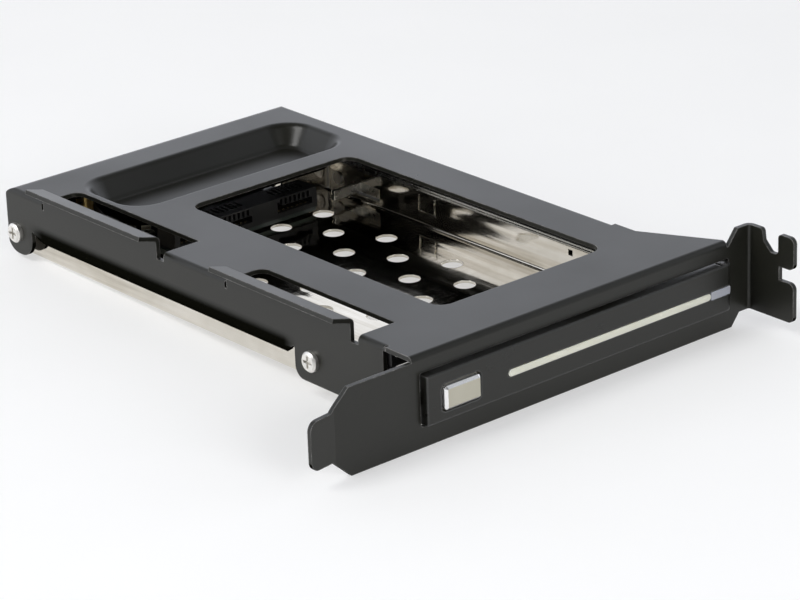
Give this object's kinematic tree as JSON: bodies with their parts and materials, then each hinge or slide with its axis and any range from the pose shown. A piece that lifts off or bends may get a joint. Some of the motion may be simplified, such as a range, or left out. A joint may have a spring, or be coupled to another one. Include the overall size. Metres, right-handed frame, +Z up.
{
  "type": "drive_mounting_bracket",
  "caption": "Expansion slot drive bay for a 2.5 inch drive: painted steel bracket and cover, bright cage, hinged door with button latch and ejector, connector board.",
  "frame": {"origin": "centre of the bounding box in X and Y, lowest edge of the slot bracket in Z", "axes": "+Y runs from the door to the rear of the bay, +X from the bracket's tongue to its flange, +Z up"},
  "size_m": [0.12, 0.149, 0.0236],
  "materials": {
    "bracket_paint": "satin dark grey powder coat",
    "cage_steel": "bright plated sheet",
    "screw_steel": "nickel plated",
    "hinge_steel": "plain steel",
    "slide_steel": "plated sheet steel",
    "spring_steel": "spring wire",
    "door_plastic": "fine grained black",
    "light_guide_ivory": "milky translucent",
    "lens_grey": "smoked grey",
    "led_plastic": "clear resin",
    "button_plastic": "warm grey satin",
    "latch_plastic": "acetal black",
    "board_green": "green solder mask",
    "standoff_brass": "turned brass",
    "chip_black": "moulded epoxy",
    "connector_black": "glass filled nylon",
    "can_beige": "beige sleeve",
    "contact_gold": "gold flash"
  },
  "bodies": {
    "chassis": {"slot_bracket_cover": "bracket_paint", "drive_cage": "cage_steel", "cover_screws_left": "screw_steel", "cover_screws_right": "screw_steel", "hinge_bracket": "bracket_paint", "hinge_pin": "hinge_steel", "ejector_rivet": "hinge_steel", "backplane_board": "board_green", "board_standoffs": "standoff_brass", "board_screws": "screw_steel", "board_components": "chip_black", "round_capacitor": "can_beige", "drive_connector": "connector_black", "drive_contacts": "contact_gold", "data_socket": "connector_black", "power_socket": "connector_black", "rear_contacts": "contact_gold"},
    "door": {"door_panel": "door_plastic", "door_back_plate": "door_plastic", "light_guide": "light_guide_ivory", "light_guide_end": "lens_grey", "led_board": "board_green", "status_leds": "led_plastic", "button_springs": "spring_steel", "latch_spring": "spring_steel", "ejector_pin": "hinge_steel"},
    "button": {"button": "button_plastic"},
    "latch": {"latch_bolt": "latch_plastic"},
    "ejector": {"ejector_slide": "slide_steel"}
  },
  "joints": [
    {"name": "door_hinge", "type": "hinge", "parent": "chassis", "child": "door", "pos_m": [0.05109, -0.0621, 0.01], "axis": [0, 0, 1], "range_deg": [0, 90]},
    {"name": "button_push", "type": "slide", "parent": "door", "child": "button", "axis": [0, 1, 0], "range_m": [0, 0.001], "stiffness_N_per_m": 300, "deforming": ["button_springs"]},
    {"name": "latch_slide", "type": "slide", "parent": "door", "child": "latch", "axis": [1, 0, 0], "range_m": [0, 0.001], "stiffness_N_per_m": 100, "deforming": ["latch_spring"]},
    {"name": "ejector_travel", "type": "slide", "parent": "chassis", "child": "ejector", "axis": [0, -1, 0], "range_m": [0, 0.00707]}
  ],
  "couplings": [
    {"joint": "latch_slide", "follows": "button_push", "ratio": 1},
    {"joint": "ejector_travel", "follows": "door_hinge", "m_per_rad": 0.004502}
  ]
}
